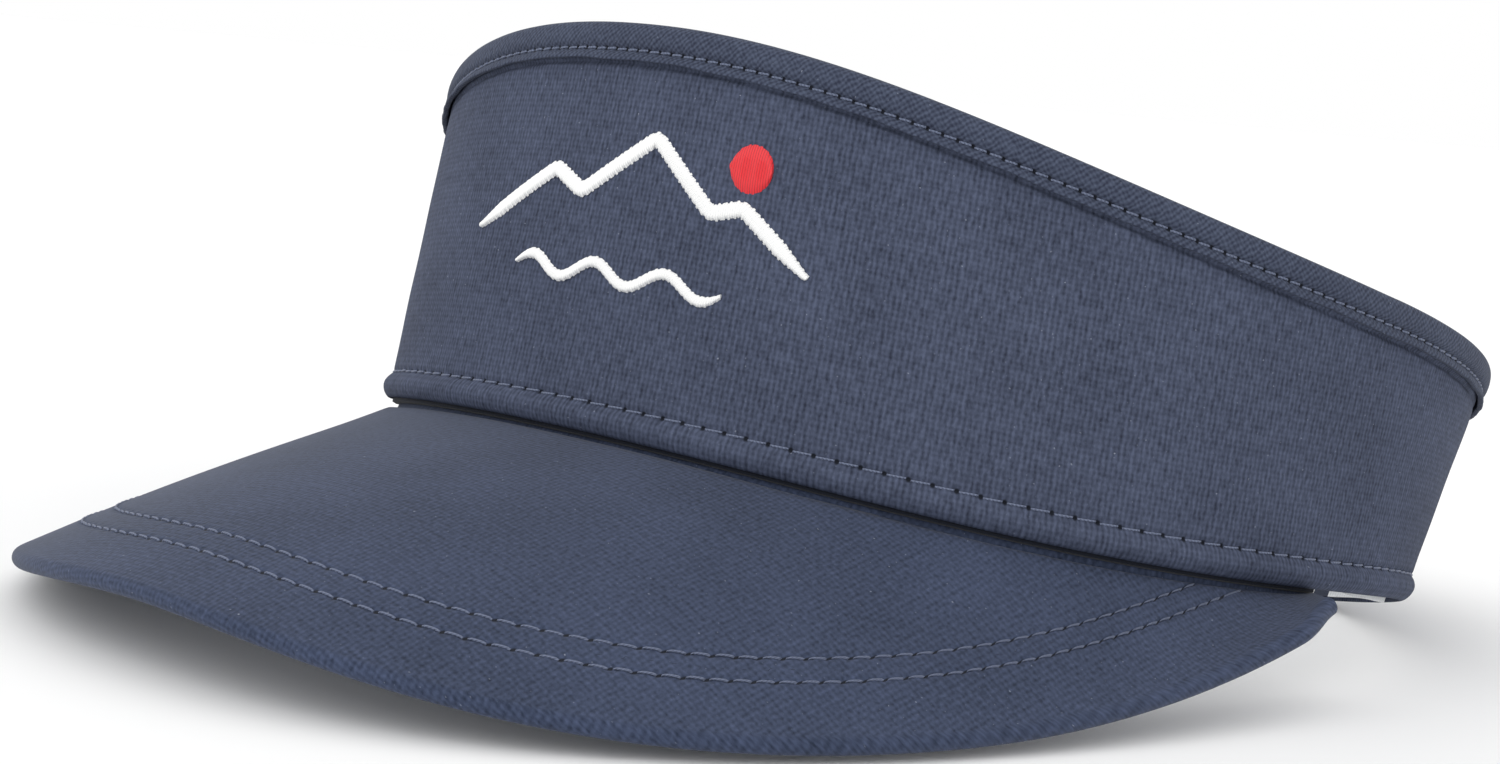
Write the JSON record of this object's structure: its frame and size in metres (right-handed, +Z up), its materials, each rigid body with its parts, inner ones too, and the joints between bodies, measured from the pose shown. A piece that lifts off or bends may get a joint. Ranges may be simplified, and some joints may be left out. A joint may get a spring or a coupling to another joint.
{
  "type": "sun visor",
  "caption": "Open-topped fabric sun visor with a long curved brim, a bound band high in front and a hook-and-loop back strap.",
  "frame": {"origin": "centre of the bounding box on the surface that the visor stands on", "axes": "-Y out along the brim, +Y to the back strap, +X to the wearer's left, +Z up to the open top"},
  "size_m": [0.2174, 0.2742, 0.1018],
  "materials": {
    "fabric": "slate-blue performance twill, matt",
    "lining": "thin matt lining",
    "stiffener": "stiff open-weave buckram",
    "sweatband": "brushed wicking knit",
    "foam": "thin open-cell foam",
    "board": "flexible moulded sheet",
    "thread": "spun polyester thread",
    "thread_white": "satin-stitched embroidery thread",
    "thread_red": "satin-stitched embroidery thread",
    "hook_tape": "moulded hooks",
    "loop_tape": "brushed loops",
    "label": "woven satin label, blank"
  },
  "bodies": {
    "crown": {"crown_shell": "fabric", "front_stiffener": "stiffener", "crown_lining": "lining", "top_binding": "fabric", "top_binding_stitch": "thread", "hem_stitch": "thread", "sweatband": "sweatband", "sweatband_foam": "foam", "sweatband_stitch": "thread", "care_label": "label", "brim_seam_tab": "fabric", "brim_top_cover": "fabric", "brim_board": "board", "brim_under_cover": "fabric", "brim_stitch_outer": "thread", "brim_stitch_inner": "thread", "brim_under_stitch_outer": "thread", "brim_under_stitch_inner": "thread", "hook_strap_root": "fabric", "hook_root_stitch": "thread", "loop_strap_root": "fabric", "loop_root_stitch": "thread", "emblem_ridge": "thread_white", "emblem_wave": "thread_white", "emblem_sun": "thread_red"},
    "hook_tab": {"hook_strap": "fabric", "hook_patch": "hook_tape", "hook_strap_stitch": "thread"},
    "loop_tab": {"loop_strap": "fabric", "loop_patch": "loop_tape", "loop_strap_stitch": "thread"}
  },
  "joints": [
    {"name": "hook_strap_peel", "type": "hinge", "parent": "crown", "child": "hook_tab", "pos_m": [0.05129, 0.11858, 0.01722], "axis": [-0.1348, -0.3669, -0.9204], "range_deg": [0, 100]},
    {"name": "loop_strap_flex", "type": "hinge", "parent": "crown", "child": "loop_tab", "pos_m": [-0.05129, 0.11858, 0.01722], "axis": [0.1348, -0.3669, -0.9204], "range_deg": [0, 20]}
  ]
}
